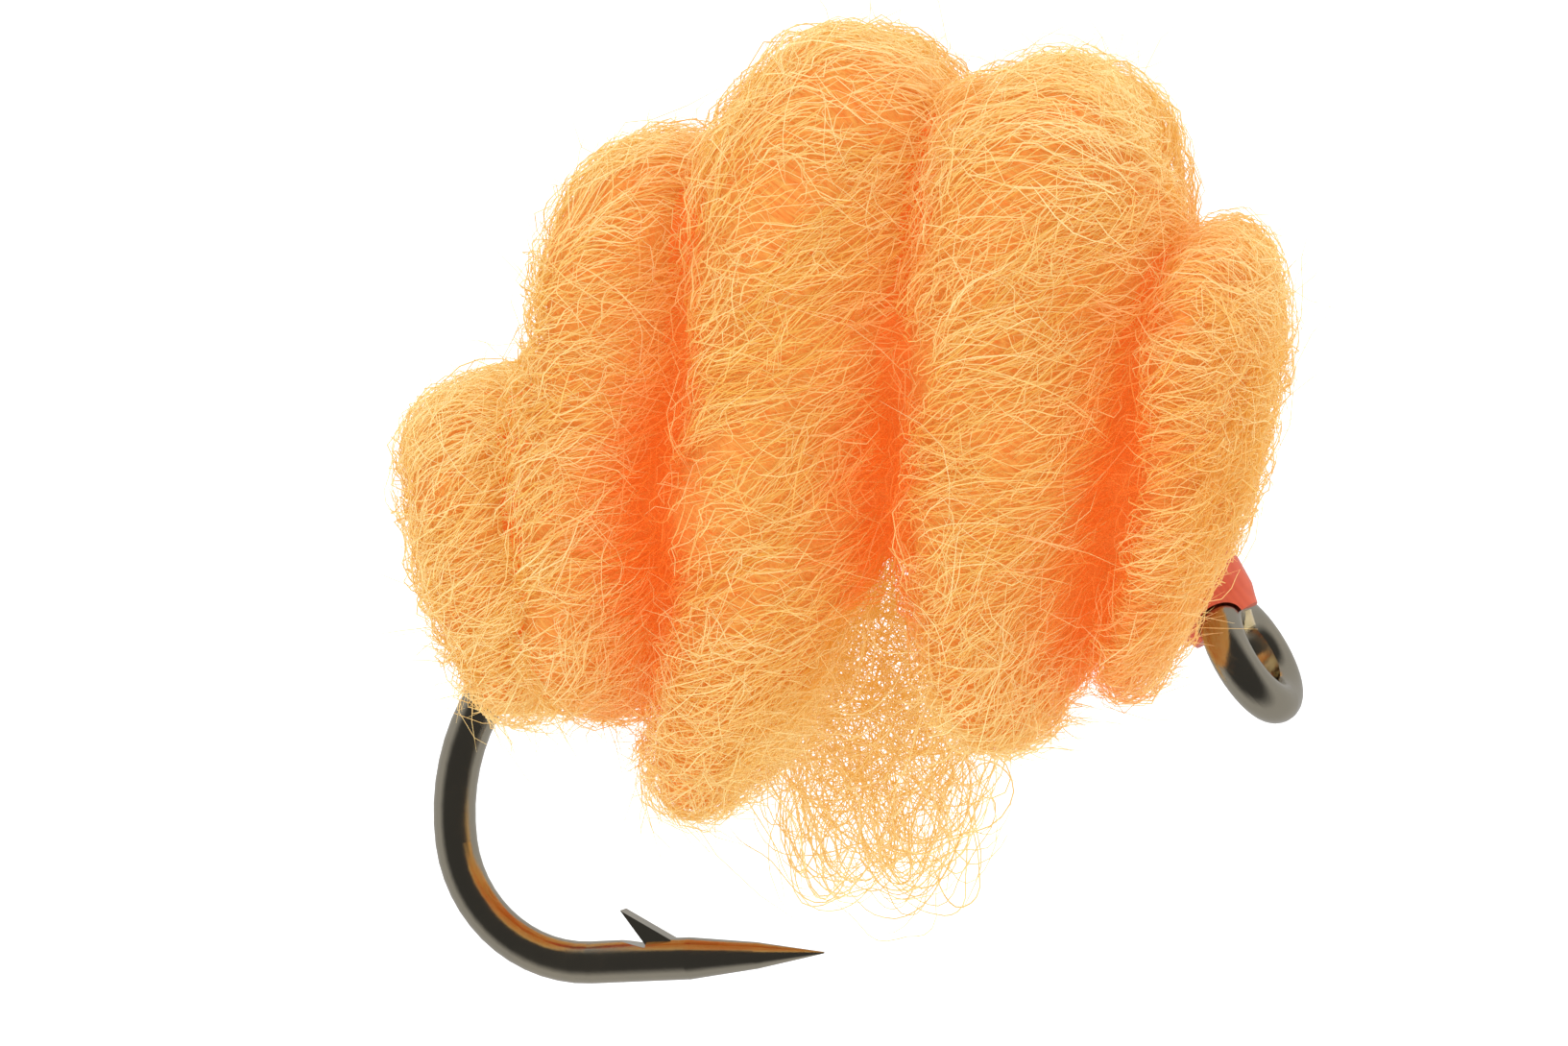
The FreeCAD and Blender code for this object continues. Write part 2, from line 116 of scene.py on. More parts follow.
# cores: cell size of the remesh, height of the lumps, and the swelling towards the roll
# beside, as a share of the gap and the gap where it fades
CORE_CELL = 0.15
LUMP_HEIGHT = 0.09
SWELL_SHARE = 0.45
SWELL_REACH = 1.15
OPEN_GAP = 9.0

# the deeper mass: how far it is grown or drawn in, with the cell size of each remesh
HEART_STEPS = ((0.38, 0.22), (-0.60, 0.26))
HEART_CELL = 0.26
HEART_STARTS = 12000
# share of painted shade over the whole deeper mass
HEART_SHADE = 0.9
HEART_CLEAR = 0.04

# painted shade between two rolls: its height on the fly, its spread up and down, its
# reach to either side, and its share in the open and at that height
CREVICE_HEIGHT = 2.6
CREVICE_SPREAD = 3.4
CREVICE_REACH = 1.15
CREVICE_SHARES = (0.2, 1.1)
# the roll by the bend lies apart, so the yarn beside it gets less painted shade
OPEN_ROLL = 1

# painted glow that stands in for light scattered about inside the wool, in the open and between rolls
INNER_GLOW = (0.95, 0.37, 0.055, 1.0)
DEEP_GLOW = (1.30, 0.26, 0.03, 1.0)

# fibres: scatter of a lock, wander of the slope, and what makes one paler
LOCK_SCATTER = 0.13
SLOPE_DRIFT = 9
TONE_BASE = 0.12
TONE_AT_ENDS = 0.45
TONE_PATCHES = 0.10
ROD_SEGMENTS = 6

# how much further the free fibre ends stand out at a lobe's end and at a crown
LOBE_TOP = 0.8
RAGGED_LOFT = 1.3
CROWN_LOFT = 0.8

# soft lights: the way each one lies from the fly, its power in watts and its tint
LIGHTS = {
    "key_light": ((-0.5, -1.0, 1.1), 0.85, (1.0, 0.98, 0.95)),
    "fill_light": ((0.9, -1.0, 0.1), 0.65, (1.0, 0.98, 0.96)),
    "under_light": ((-0.2, -0.8, -0.7), 0.35, (1.0, 0.98, 0.96)),
    "rim_light": ((0.3, 1.0, 0.5), 0.5, (1.0, 1.0, 1.0)),
}
LIGHT_WIDTH = 0.3
LIGHT_DISTANCE = 0.4

# loose fibres under the shank
TUFT_SEGMENTS = 26
TUFT_TAPER = 0.3
STRAGGLER_SHARE = 0.06


# ---------------------------------------------------------------- settings
class StageSettings(bpy.types.PropertyGroup):
    """Camera, floor and light."""

    azimuth: bpy.props.FloatProperty(
        name="Azimuth", description="Turn of the camera round the fly",
        default=math.radians(19.0), subtype="ANGLE")
    elevation: bpy.props.FloatProperty(
        name="Elevation", description="Height of the camera as an angle",
        default=math.radians(6.0), subtype="ANGLE")
    lens: bpy.props.FloatProperty(
        name="Focal length", description="Focal length of the camera in millimetres",
        default=400.0, unit="CAMERA")
    distance: bpy.props.FloatProperty(
        name="Distance", description="Distance from the camera to the fly",
        default=302.2 * MM, subtype="DISTANCE")
    slide: bpy.props.FloatProperty(
        name="Slide", description="Aim of the camera to the right of the eye",
        default=-8.108 * MM, subtype="DISTANCE")
    rise: bpy.props.FloatProperty(
        name="Rise", description="Aim of the camera above the eye",
        default=2.325 * MM, subtype="DISTANCE")
    floor_drop: bpy.props.FloatProperty(
        name="Floor drop", description="Gap between the fly and the floor",
        default=14.0 * MM, subtype="DISTANCE")


class YarnSettings(bpy.types.PropertyGroup):
    """Sizes, numbers and colours of the yarn."""

    near_fibres: bpy.props.IntProperty(
        name="Near fibres", description="Fibres on a near roll of middling size",
        default=5200, min=100)
    far_fibres: bpy.props.IntProperty(
        name="Far fibres", description="Fibres on a far roll of middling size",
        default=3300, min=100)
    tuft_fibres: bpy.props.IntProperty(
        name="Tuft fibres", description="Fibres hanging below the shank",
        default=520, min=10)
    fibre_radius: bpy.props.FloatProperty(
        name="Fibre radius", description="Radius of a fibre of middling thickness",
        default=0.0120 * MM, subtype="DISTANCE")
    core_inset: bpy.props.FloatProperty(
        name="Core inset", description="Depth of the packed core below the roll's face",
        default=0.13 * MM, subtype="DISTANCE")
    pale: bpy.props.FloatVectorProperty(
        name="Pale yarn", description="Colour of the palest fibres",
        default=(0.77, 0.80, 0.47), subtype="COLOR", min=0.0, max=1.0)
    middle: bpy.props.FloatVectorProperty(
        name="Middle yarn", description="Colour of most fibres",
        default=(0.70, 0.53, 0.145), subtype="COLOR", min=0.0, max=1.0)
    # deep colour: the packed core's deeper streaks, and the painted shade between the rolls
    deep: bpy.props.FloatVectorProperty(
        name="Deep yarn", description="Colour between the rolls",
        default=(0.62, 0.12, 0.02), subtype="COLOR", min=0.0, max=1.0)


class MetalSettings(bpy.types.PropertyGroup):
    """Finish of the hook."""

    bronze: bpy.props.FloatVectorProperty(
        name="Bronze", description="Colour of the bronzed wire",
        default=(0.43, 0.39, 0.31), subtype="COLOR", min=0.0, max=1.0)
    worn: bpy.props.FloatVectorProperty(
        name="Worn bronze", description="Colour where the bronzing is thin",
        default=(0.55, 0.48, 0.36), subtype="COLOR", min=0.0, max=1.0)


class ThreadSettings(bpy.types.PropertyGroup):
    """Finish of the tying thread, the head and its cement."""

    red: bpy.props.FloatVectorProperty(
        name="Thread red", description="Colour of the head's thread",
        default=(0.66, 0.115, 0.045), subtype="COLOR", min=0.0, max=1.0)
    # darker red: painted shade in the grooves between the turns, and the thread's own darker patches
    dark_red: bpy.props.FloatVectorProperty(
        name="Dark thread red", description="Colour between the turns of thread",
        default=(0.52, 0.075, 0.032), subtype="COLOR", min=0.0, max=1.0)
    turn_width: bpy.props.FloatProperty(
        name="Turn width", description="Width of one turn of thread",
        default=0.085 * MM, subtype="DISTANCE")
    cement: bpy.props.FloatVectorProperty(
        name="Cement", description="Colour of the dried cement",
        default=(0.98, 0.80, 0.38), subtype="COLOR", min=0.0, max=1.0)


# ---------------------------------------------------------------- shader expressions
class Value:
    """A shader socket that takes part in Python arithmetic."""

    def __init__(self, paint, socket):
        self.paint = paint
        self.socket = socket

    def maths(self, operation, first, second):
        """A Math node on two values."""
        return self.paint.node("ShaderNodeMath", {"operation": operation}, {0: first, 1: second})

    def __add__(self, other):
        return self.maths("ADD", self, other)

    def __radd__(self, other):
        return self.maths("ADD", other, self)

    def __sub__(self, other):
        return self.maths("SUBTRACT", self, other)

    def __rsub__(self, other):
        return self.maths("SUBTRACT", other, self)

    def __mul__(self, other):
        return self.maths("MULTIPLY", self, other)

    def __rmul__(self, other):
        return self.maths("MULTIPLY", other, self)


class Paint:
    """The node tree of a material or of the world."""

    def __init__(self, name, owner=None):
        self.owner = owner or bpy.data.materials.new(name)
        self.owner.use_nodes = True
        self.tree = self.owner.node_tree
        self.tree.nodes.clear()

    def node(self, kind, settings=None, inputs=None, out=0):
        """Add a node, set it up, and return one of its outputs."""
        made = self.tree.nodes.new(kind)
        for name, value in (settings or {}).items():
            if name == "stops":
                self.write_stops(made.color_ramp, value)
            else:
                setattr(made, name, value)
        for name, value in (inputs or {}).items():
            if isinstance(value, Value):
                self.tree.links.new(value.socket, made.inputs[name])
            else:
                made.inputs[name].default_value = value
        return Value(self, made.outputs[out]) if made.outputs else made

    def write_stops(self, ramp, stops):
        """Give a colour ramp its stops, as pairs of a place and a grey."""
        while len(ramp.elements) < len(stops):
            ramp.elements.new(1.0)
        for element, (place, grey) in zip(ramp.elements, stops):
            element.position = place
            element.color = (grey, grey, grey, 1.0)

    def ramp(self, value, *stops):
        """A value taken through grey stops."""
        return self.node("ShaderNodeValToRGB", {"stops": stops}, {0: value})

    def blend(self, share, first, second):
        """A colour between two others."""
        return self.node("ShaderNodeMix", {"data_type": "RGBA"}, {0: share, 6: first, 7: second}, 2)

    def attribute(self, name):
        """A number stored on the mesh."""
        return self.node("ShaderNodeAttribute", {"attribute_name": name}, None, 2)

    def place(self, scale=(1.0, 1.0, 1.0), turn=(0.0, 0.0, 0.0)):
        """Object coordinates in millimetres, turned and stretched."""
        start = self.node("ShaderNodeTexCoord", None, None, 3)
        grown = tuple(share / MM for share in scale)
        return self.node("ShaderNodeMapping", {"vector_type": "TEXTURE"}, {
            "Vector": start,
            "Rotation": turn,
            "Scale": tuple(1.0 / share for share in grown),
        })

    def noise(self, place, scale, detail=3.0, roughness=0.5):
        """Noise as one value."""
        return self.node("ShaderNodeTexNoise", None, {
            "Vector": place, "Scale": scale, "Detail": detail, "Roughness": roughness})

    def bump(self, height, strength, distance):
        """A normal bent by a height."""
        return self.node("ShaderNodeBump", None, {
            "Height": height, "Strength": strength, "Distance": distance * MM})

    def finish(self, **sockets):
        """Add the main shader and the output, and return the material."""
        named = {name.replace("_", " "): value for name, value in sockets.items()}
        shader = self.node("ShaderNodeBsdfPrincipled", None, named)
        self.node("ShaderNodeOutputMaterial", None, {"Surface": shader})
        return self.owner


def colour(triple):
    """A setting's colour with its alpha."""
    return (*triple, 1.0)


# ---------------------------------------------------------------- materials
def fibre_material(yarn, name):
    """Single wool fibres, paler or deeper one by one, with a painted glow for light scattered in the
    wool and painted shade between rolls.
    """
    paint = Paint(name)
    tone = paint.attribute("tone")
    crevice = paint.attribute("crevice")
    along = paint.blend(tone, colour(yarn.middle), colour(yarn.pale))
    # painted shade: the colour deepens between rolls
    tint = paint.blend(crevice, along, colour(yarn.deep))
    # painted glow that stands in for light scattered in the wool, redder between rolls
    glow = paint.blend(crevice, INNER_GLOW, DEEP_GLOW)
    wool = paint.node("ShaderNodeBsdfPrincipled", None, {
        "Base Color": tint, "Roughness": 0.5, "Specular IOR Level": 0.3,
        "Emission Color": glow, "Emission Strength": 0.42})
    through = paint.node("ShaderNodeBsdfTranslucent", None, {"Color": (0.76, 0.59, 0.22, 1.0)})
    both = paint.node("ShaderNodeMixShader", None, {0: 0.35, 1: wool, 2: through})
    paint.node("ShaderNodeOutputMaterial", None, {"Surface": both})
    return paint.owner


def core_material(yarn, name, slope):
    """Packed yarn seen between the fibres: combed streaks that wind round the roll, a painted glow
    for light scattered in the wool, and painted shade between rolls.
    """
    paint = Paint(name)
    crevice = paint.attribute("crevice")
    streaked = paint.place((9.0, 9.0, 1.2), (0.0, slope - math.pi / 2, 0.0))
    streaks = paint.ramp(paint.noise(streaked, 1.6, 4.0, 0.6), (0.32, 0.0), (0.68, 1.0))
    hairs = paint.noise(paint.place((30.0, 30.0, 2.5), (0.0, slope - math.pi / 2, 0.0)), 1.5, 3.0)
    tint = paint.blend(streaks * 0.55, colour(yarn.deep), colour(yarn.middle))
    # painted shade: the colour deepens between rolls
    tint = paint.blend(crevice, tint, colour(yarn.deep))
    # painted glow that stands in for light scattered in the wool, redder between rolls
    glow = paint.blend(crevice, INNER_GLOW, DEEP_GLOW)
    normal = paint.bump(streaks * 0.6 + hairs * 0.4, 0.9, 0.08)
    return paint.finish(
        Base_Color=tint, Roughness=0.75, Specular_IOR_Level=0.2, Normal=normal,
        Emission_Color=glow, Emission_Strength=0.3)


def metal_material(metal):
    """Bronzed steel wire with drawing lines and thin worn patches."""
    paint = Paint("bronzed_wire")
    patches = paint.ramp(paint.noise(paint.place(), 0.9, 4.0, 0.6), (0.5, 0.0), (0.8, 1.0))
    grain = paint.noise(paint.place(), 14.0, 4.0, 0.65)
    tint = paint.blend(patches * 0.55, colour(metal.bronze), colour(metal.worn))
    rough = 0.13 + patches * 0.08 + grain * 0.08
    return paint.finish(
        Base_Color=tint, Metallic=1.0, Roughness=rough, Normal=paint.bump(grain, 0.18, 0.01))


def head_material(thread):
    """Close turns of red thread under a clear glossy coat."""
    paint = Paint("coated_thread")
    turn = paint.place((1.0, 1.0, 1.0), (0.0, math.radians(-32.0), 0.0))
    width = thread.turn_width / MM
    turns = paint.node("ShaderNodeTexWave", {"wave_type": "BANDS", "bands_direction": "X"}, {
        "Vector": turn, "Scale": 0.31 / width, "Distortion": 0.7, "Detail": 1.0})
    blotches = paint.noise(paint.place(), 2.2, 3.0)
    # painted shade in the grooves between the turns, with blotches of the thread's own tone
    tint = paint.blend(turns * 0.3 + blotches * 0.5, colour(thread.dark_red), colour(thread.red))
    return paint.finish(
        Base_Color=tint, Roughness=0.5, Specular_IOR_Level=0.35, Coat_Weight=0.25, Coat_Roughness=0.2,
        Normal=paint.bump(turns, 0.25, 0.02))


def cement_material(thread):
    """Thin clear bead of head cement, a little yellow."""
    paint = Paint("dried_cement")
    ripples = paint.noise(paint.place(), 5.0, 2.0)
    tint = paint.blend(ripples, colour(thread.cement), (1.0, 0.93, 0.7, 1.0))
    return paint.finish(
        Base_Color=tint, Roughness=0.12, IOR=1.48, Transmission_Weight=0.75,
        Normal=paint.bump(ripples, 0.4, 0.04))


def wound_material(thread):
    """Bare turns of the same red thread on the shank."""
    paint = Paint("wound_thread")
    turns = paint.node("ShaderNodeTexWave", {"wave_type": "BANDS", "bands_direction": "X"}, {
        "Vector": paint.place(), "Scale": 0.31 / (thread.turn_width / MM), "Distortion": 0.5})
    fuzz = paint.noise(paint.place(), 9.0, 3.0)
    # painted shade in the grooves between the turns, with fuzz of the thread's own tone
    tint = paint.blend(turns * 0.6 + fuzz * 0.4, colour(thread.dark_red), colour(thread.red))
    return paint.finish(Base_Color=tint, Roughness=0.7, Normal=paint.bump(turns, 0.5, 0.03))


# ---------------------------------------------------------------- shared ways of making
def deselect():
    """Leave edit mode and select nothing."""
    if bpy.context.object and bpy.context.object.mode != "OBJECT":
        bpy.ops.object.mode_set(mode="OBJECT")
    bpy.ops.object.select_all(action="DESELECT")


def pick(thing):
    """Make one object the only one selected."""
    deselect()
    thing.select_set(True)
    bpy.context.view_layer.objects.active = thing


def settle(piece, nodes, material):
    """Give a finished piece its body and its finish, and hide the nodes it stands for."""
    piece.data.materials.clear()
    piece.data.materials.append(material)
    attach(piece, "root")
    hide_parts(*nodes)


def corners_of(mesh):
    """Places of a mesh's vertices, one row each."""
    flat = np.empty(len(mesh.vertices) * 3, np.float32)
    mesh.vertices.foreach_get("co", flat)
    return flat.reshape(-1, 3).astype(float)


def unit(rows):
    """Rows of vectors, each made one long."""
    return rows / np.maximum(np.linalg.norm(rows, axis=-1, keepdims=True), 1e-9)


def waves(rng, count, longest, shortest):
    """Smooth random field, as the waves that add up to it."""
    lengths = rng.uniform(shortest, longest, count)
    ways = unit(rng.normal(size=(count, 3)))
    return ways * (2 * math.pi / lengths)[:, None], rng.uniform(0, 2 * math.pi, count)


def sample(field, places):
    """Smooth random field at each place, roughly between -1 and 1."""
    ways, phases = field
    return np.sin(places @ ways.T + phases).sum(axis=-1) / math.sqrt(len(phases))


def write_number(mesh, name, values):
    """Store a number on each vertex."""
    made = mesh.attributes.new(name, "FLOAT", "POINT")
    made.data.foreach_set("value", np.asarray(values, np.float32).ravel())


class Surface:
    """A closed face in millimetres that fibres are laid over."""

    def __init__(self, places, faces):
        self.places = places
        self.faces = faces
        self.tree = BVHTree.FromPolygons(places.tolist(), faces.tolist())
        edges = places[faces]
        normals = np.cross(edges[:, 1] - edges[:, 0], edges[:, 2] - edges[:, 0])
        self.areas = np.linalg.norm(normals, axis=1) / 2

    def nearest(self, points):
        """Nearest place on the face, and its normal, for each point."""
        found = [self.tree.find_nearest(point)[:2] for point in points.tolist()]
        spots = np.array([tuple(spot) for spot, _ in found])
        normals = np.array([tuple(normal) for _, normal in found])
        return spots, normals

    def gap(self, points):
        """Distance from each point to the face."""
        return np.array([self.tree.find_nearest(point)[3] for point in points.tolist()])

    def scatter(self, rng, count, low_share=0.0):
        """Random places spread over the face, more of them low down if that is asked."""
        heights = self.places[self.faces[:, 0], 2]
        below = np.clip((LOBE_TOP - heights) / 2.5, 0, 1)
        weights = self.areas * (1 + low_share * below)
        chosen = rng.choice(len(self.faces), count, p=weights / weights.sum())
        first, second = rng.random((2, count, 1))
        over = first + second > 1
        first = np.where(over, 1 - first, first)
        second = np.where(over, 1 - second, second)
        edges = self.places[self.faces[chosen]]
        return (edges[:, 0] + first * (edges[:, 1] - edges[:, 0])
                + second * (edges[:, 2] - edges[:, 0]))


def model_rod(segments):
    """One tapered fibre along Z, and what a copy of it needs: rings, offsets, faces."""
    deselect()
    bpy.ops.mesh.primitive_cylinder_add(vertices=ROD_SIDES, radius=1.0, depth=1.0)
    rod = bpy.context.object
    bpy.ops.object.mode_set(mode="EDIT")
    bpy.ops.mesh.select_mode(type="EDGE")
    bpy.ops.mesh.select_all(action="DESELECT")
    bpy.ops.object.mode_set(mode="OBJECT")
    mesh = rod.data
    for edge in mesh.edges:
        low, high = (mesh.vertices[index].co for index in edge.vertices)
        edge.select = abs(low.z - high.z) > 0.5
    bpy.ops.object.mode_set(mode="EDIT")
    bpy.ops.mesh.subdivide(number_cuts=segments - 1)
    bpy.ops.mesh.select_all(action="SELECT")
    bpy.ops.mesh.normals_make_consistent(inside=False)
    bpy.ops.object.mode_set(mode="OBJECT")
    places = corners_of(mesh)
    rings = np.rint((places[:, 2] + 0.5) * segments).astype(int)
    faces = [list(face.vertices) for face in mesh.polygons]
    bpy.data.objects.remove(rod)
    share = rings / segments
    taper = 0.3 + 0.7 * np.sin(math.pi * np.clip(share, 0.0, 1.0)) ** 0.5
    return rings, places[:, :2] * taper[:, None], faces


def copy_rods(name, rod, lines, ups, radii, numbers):
    """One mesh of copies of the rod, each bent along its own line."""
    rings, offsets, faces = rod
    count, corners = len(lines), len(rings)
    ahead = unit(np.gradient(lines, axis=1))
    side = unit(ups - (ups * ahead).sum(-1, keepdims=True) * ahead)
    across = np.cross(ahead, side)
    places = (lines[:, rings]
              + radii[:, None, None] * (offsets[:, 0, None] * side[:, rings]
                                        + offsets[:, 1, None] * across[:, rings]))
    starts = np.arange(count) * corners
    sizes = np.array([len(face) for face in faces])
    order = np.concatenate(faces)
    mesh = bpy.data.meshes.new(name)
    mesh.vertices.add(count * corners)
    mesh.vertices.foreach_set("co", (places * MM).astype(np.float32).ravel())
    mesh.loops.add(count * len(order))
    every = (starts[:, None] + order).ravel().astype(np.int32)
    mesh.loops.foreach_set("vertex_index", every)
    mesh.polygons.add(count * len(faces))
    begins = np.concatenate([[0], np.cumsum(np.tile(sizes, count))[:-1]]).astype(np.int32)
    mesh.polygons.foreach_set("loop_start", begins)
    mesh.polygons.foreach_set("use_smooth", np.ones(count * len(faces), bool))
    mesh.update(calc_edges=True)
    mesh.validate()
    for label, values in numbers.items():
        write_number(mesh, label, np.repeat(values, corners))
    write_cells(mesh, rod, count)
    piece = bpy.data.objects.new(name, mesh)
    bpy.context.scene.collection.objects.link(piece)
    return piece


def write_cells(mesh, rod, count):
    """Give each fibre a cell of its own in the mesh's picture map."""
    rings, offsets, faces = rod
    columns = math.ceil(math.sqrt(count))
    turn = (np.arctan2(offsets[:, 1], offsets[:, 0]) / (2 * math.pi)) % 1.0
    order = np.concatenate(faces)
    across = 0.1 + 0.8 * turn[order]
    along = 0.1 + 0.8 * rings[order] / rings.max()
    number = np.arange(count)[:, None]
    spots = np.stack([
        (number % columns + across) / columns,
        (number // columns + along) / columns,
    ], axis=-1)
    cells = mesh.uv_layers.new(name="OFBake")
    cells.uv.foreach_set("vector", spots.astype(np.float32).ravel())


# ---------------------------------------------------------------- yarn rolls
def join_copies(sources, name, scale):
    """Merged copies of some closed pieces in one mesh, scaled."""
    copies = []
    for source in sources:
        copy = bpy.data.objects.new(name, source.data.copy())
        bpy.context.scene.collection.objects.link(copy)
        copy.data.transform(Matrix.Scale(scale, 4))
        copies.append(copy)
    pick(copies[0])
    for copy in copies:
        copy.select_set(True)
    if len(copies) > 1:
        bpy.ops.object.join()
    bpy.ops.mesh.customdata_custom_splitnormals_clear()
    bpy.ops.object.mode_set(mode="EDIT")
    bpy.ops.mesh.select_all(action="SELECT")
    bpy.ops.mesh.remove_doubles(threshold=0.001)
    bpy.ops.mesh.normals_make_consistent(inside=False)
    bpy.ops.object.mode_set(mode="OBJECT")
    return copies[0]


def remesh_at(piece, size, rounds):
    """Remesh a piece in even cells, then smooth it."""
    pick(piece)
    remesh = piece.modifiers.new("Remesh", "REMESH")
    remesh.mode = "VOXEL"
    remesh.voxel_size = size
    bpy.ops.object.modifier_apply(modifier=remesh.name)
    smooth = piece.modifiers.new("Smooth", "SMOOTH")
    smooth.factor = 0.5
    smooth.iterations = rounds
    bpy.ops.object.modifier_apply(modifier=smooth.name)


def push_out(piece, distance):
    """Move every vertex along its normal, by one distance or one each."""
    places = corners_of(piece.data)
    normals = np.empty(len(places) * 3, np.float32)
    piece.data.vertices.foreach_get("normal", normals)
    places += normals.reshape(-1, 3) * np.broadcast_to(distance, len(places))[:, None]
    piece.data.vertices.foreach_set("co", places.astype(np.float32).ravel())
    piece.data.update()


def model_core(node, name, inset, rng):
    """Packed core of a roll: a merged copy of its solid, remeshed, drawn in and lumpy."""
    core = join_copies([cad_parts[node]], name, 1 / MM)
    remesh_at(core, CORE_CELL, 6)
    push_out(core, LUMP_HEIGHT * sample(waves(rng, 9, 3.5, 1.6), corners_of(core.data)) - inset)
    bpy.ops.object.shade_smooth()
    return core


def surface_of(core):
    """The core's face, ready to lay fibres over."""
    core.data.calc_loop_triangles()
    flat = np.empty(len(core.data.loop_triangles) * 3, np.int32)
    core.data.loop_triangles.foreach_get("vertices", flat)
    return Surface(corners_of(core.data), flat.reshape(-1, 3))


def roll_axis(places, low, high, lean, near):
    """The roll's own line at each place: up its face, and over at its two ends."""
    share = np.clip(2 * (places[:, 2] - low) / (high - low) - 1, -1, 1)
    turn = math.pi / 2 * np.sign(share) * np.abs(share) ** 3
    side = np.sin(turn) * (1 if near else -1)
    up = np.cos(turn)
    return np.stack([up * math.sin(lean), side, up * math.cos(lean)], axis=-1)


def lay_lines(surface, starts, slopes, lengths, steps, axis_at):
    """Lines that wind over a face from each start, and the face's normal along them."""
    spots, normals = surface.nearest(starts)
    lines, ups = [spots], [normals]
    for _ in range(steps):
        axis = axis_at(spots)
        round_it = unit(np.cross(axis, normals))
        along = unit(axis - (axis * normals).sum(-1, keepdims=True) * normals)
        way = np.cos(slopes)[:, None] * round_it + np.sin(slopes)[:, None] * along
        spots, normals = surface.nearest(spots + way * (lengths / steps)[:, None])
        lines.append(spots)
        ups.append(normals)
    return np.stack(lines, axis=1), np.stack(ups, axis=1)


def smooth_rows(rows):
    """Rows averaged with their neighbours along each line."""
    padded = np.concatenate([rows[:, :1], rows, rows[:, -1:]], axis=1)
    return (padded[:, :-2] + padded[:, 1:-1] * 2 + padded[:, 2:]) / 4


def fluff(rng, lines, ups, lay, count, loft):
    """Lift each line off the face as its way of lying and its loft say."""
    _, _, lift, arch, rise, curl, _ = lay
    share = np.linspace(0, 1, lines.shape[1])[None, :]
    hump = np.sin(math.pi * share)
    ends = np.abs(2 * share - 1) ** 6
    free = np.clip(share * 2 - 1, 0, 1) ** 2
    turns = rng.uniform(0.6, 2.2, (count, 1))
    phases = rng.uniform(0, 2 * math.pi, (2, count, 1))
    swing = rng.uniform(*curl, (count, 1))
    drawn = rng.uniform(*lift, (count, 1)) + rng.uniform(*arch, (count, 1)) * hump
    drawn = drawn + rng.uniform(*rise, (count, 1)) * loft[:, None] * free - 0.09 * ends * (1 - free)
    drawn = drawn + 0.6 * swing * np.sin(2 * math.pi * turns * share + phases[0])
    ahead = unit(np.gradient(lines, axis=1))
    across = np.cross(ahead, ups)
    wander = swing * np.sin(2 * math.pi * turns * 0.8 * share + phases[1])
    return lines + drawn[..., None] * ups + wander[..., None] * across


def roll_fibres(name, ways, number, near, surface, others, count, yarn, rng, rod):
    """The fibres of one roll that lie in the given ways, lock by lock."""
    lean, slope, pale, _ = ROLLS[number]
    low, high = surface.places[:, 2].min(), surface.places[:, 2].max()
    drift = waves(rng, 8, 5.0, 2.0)
    shades = waves(rng, 8, 3.0, 1.0)
    lines, ups, tones, radii = [], [], [], []
    for way in ways:
        lay = LAYS[way]
        share, length, _, _, _, _, spread = lay
        total = int(count * share)
        locks = max(total // LOCK_SIZES[way], 1)
        centres = surface.scatter(rng, locks, FRAYS[way])
        member = rng.integers(0, locks, total)
        starts = centres[member] + rng.normal(0, LOCK_SCATTER, (total, 3))
        turns = np.radians(slope + SLOPE_DRIFT * sample(drift, starts)
                           + rng.normal(0, spread / 2, locks)[member]
                           + rng.normal(0, spread / 3, total))
        lengths = rng.uniform(*length, locks)[member] * rng.uniform(0.7, 1.15, total)
        laid, normals = lay_lines(
            surface, starts, turns, lengths, rod[0].max(),
            lambda spots: roll_axis(spots, low, high, math.radians(lean), near))
        normals = unit(smooth_rows(smooth_rows(normals)))
        ragged = np.clip((LOBE_TOP - starts[:, 2]) / 2.0, 0, 1)
        crown = np.clip((starts[:, 2] - high + 1.2) / 1.2, 0, 1)
        loft = 1 + RAGGED_LOFT * ragged + CROWN_LOFT * crown
        lines.append(fluff(rng, laid, normals, lay, total, loft))
        ups.append(normals)
        height = np.clip(2 * (starts[:, 2] - low) / (high - low) - 1, -1, 1)
        tone = (TONE_BASE + pale + PALENESS[way]
                + TONE_AT_ENDS * height ** 2 + TONE_PATCHES * sample(shades, starts)
                + rng.normal(0, 0.10, locks)[member] + rng.normal(0, 0.12, total))
        tones.append(np.clip(tone, 0, 1))
        radii.append(rng.uniform(0.7, 1.3, total) * THINNESS[way] * yarn.fibre_radius / MM)
    lines = np.concatenate(lines)
    middles = lines[:, lines.shape[1] // 2]
    # painted shade between rolls, stored on each fibre
    numbers = {"tone": np.concatenate(tones), "crevice": crevice_shade_at(middles, others)}
    return copy_rods(name, rod, lines, np.concatenate(ups), np.concatenate(radii), numbers)


def crevice_shade_at(places, others):
    """Share of painted shade at each place: more the deeper between two rolls it lies, from 0 in the
    open to 1.
    """
    gaps = np.full(len(places), OPEN_GAP)
    for other in others:
        gaps = np.minimum(gaps, other.gap(places))
    in_open, at_height = CREVICE_SHARES
    depth = in_open + at_height * tallness(places)
    return np.clip(np.exp(-(gaps / CREVICE_REACH) ** 2) * depth, 0, 1)


def tallness(places):
    """How near each place is to the height where the painted shade is deepest, from 0 to 1."""
    return np.exp(-((places[:, 2] - CREVICE_HEIGHT) / CREVICE_SPREAD) ** 2)


